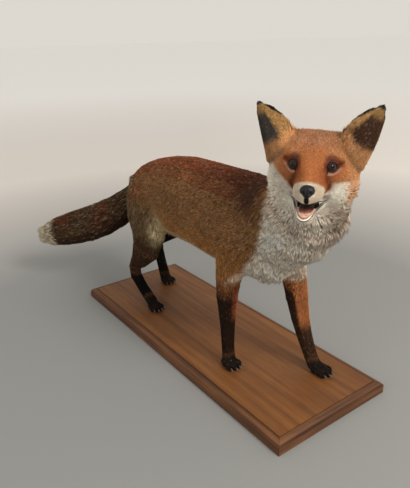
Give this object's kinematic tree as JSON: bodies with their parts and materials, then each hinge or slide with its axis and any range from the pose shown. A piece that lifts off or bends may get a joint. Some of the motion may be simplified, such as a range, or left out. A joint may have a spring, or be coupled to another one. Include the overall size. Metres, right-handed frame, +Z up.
{
  "type": "taxidermy red fox on a wooden base",
  "caption": "Mounted red fox in a walking pose on a moulded wooden board, head turned to its right with jaws open; a still display specimen.",
  "frame": {"origin": "centre of the board's underside", "axes": "+X the way the body faces, along the board's length; +Y the fox's left; +Z up"},
  "size_m": [1.0053, 0.375, 0.6057],
  "materials": {
    "fur_red": "soft rust-red coat",
    "fur_flank": "grizzled ochre coat",
    "fur_white": "long off-white coat over grey underfur",
    "fur_black": "short brown-black coat",
    "fur_tail": "thick dark brown brush",
    "eye": "glossy brown glass-like eye",
    "nose": "satin black, finely pebbled",
    "tongue": "satin pale pink",
    "teeth": "ivory teeth on dark gums",
    "claw": "horn, satin",
    "wood": "stained and lightly varnished"
  },
  "bodies": {
    "root": {"base_moulding_front": "wood", "base_moulding_left": "wood", "base_moulding_rear": "wood", "base_moulding_right": "wood", "base_panel": "wood", "ear_left": "fur_black", "ear_right": "fur_black", "eye_left": "eye", "eye_right": "eye", "foreleg_left_claw_1": "claw", "foreleg_left_claw_2": "claw", "foreleg_left_claw_3": "claw", "foreleg_left_claw_4": "claw", "foreleg_left_lower": "fur_black", "foreleg_left_paw": "fur_black", "foreleg_left_upper": "fur_red", "foreleg_right_claw_1": "claw", "foreleg_right_claw_2": "claw", "foreleg_right_claw_3": "claw", "foreleg_right_claw_4": "claw", "foreleg_right_lower": "fur_black", "foreleg_right_paw": "fur_black", "foreleg_right_upper": "fur_red", "gum_and_teeth_lower": "teeth", "gum_and_teeth_upper": "teeth", "head": "fur_red", "hindleg_left_claw_1": "claw", "hindleg_left_claw_2": "claw", "hindleg_left_claw_3": "claw", "hindleg_left_claw_4": "claw", "hindleg_left_hock": "fur_black", "hindleg_left_paw": "fur_black", "hindleg_left_shank": "fur_red", "hindleg_left_thigh": "fur_red", "hindleg_right_claw_1": "claw", "hindleg_right_claw_2": "claw", "hindleg_right_claw_3": "claw", "hindleg_right_claw_4": "claw", "hindleg_right_hock": "fur_black", "hindleg_right_paw": "fur_black", "hindleg_right_shank": "fur_red", "hindleg_right_thigh": "fur_red", "lower_jaw": "fur_white", "neck": "fur_white", "nose": "nose", "tail_middle": "fur_tail", "tail_root": "fur_tail", "tail_tip": "fur_white", "tongue": "tongue", "trunk": "fur_flank"}
  },
  "joints": []
}
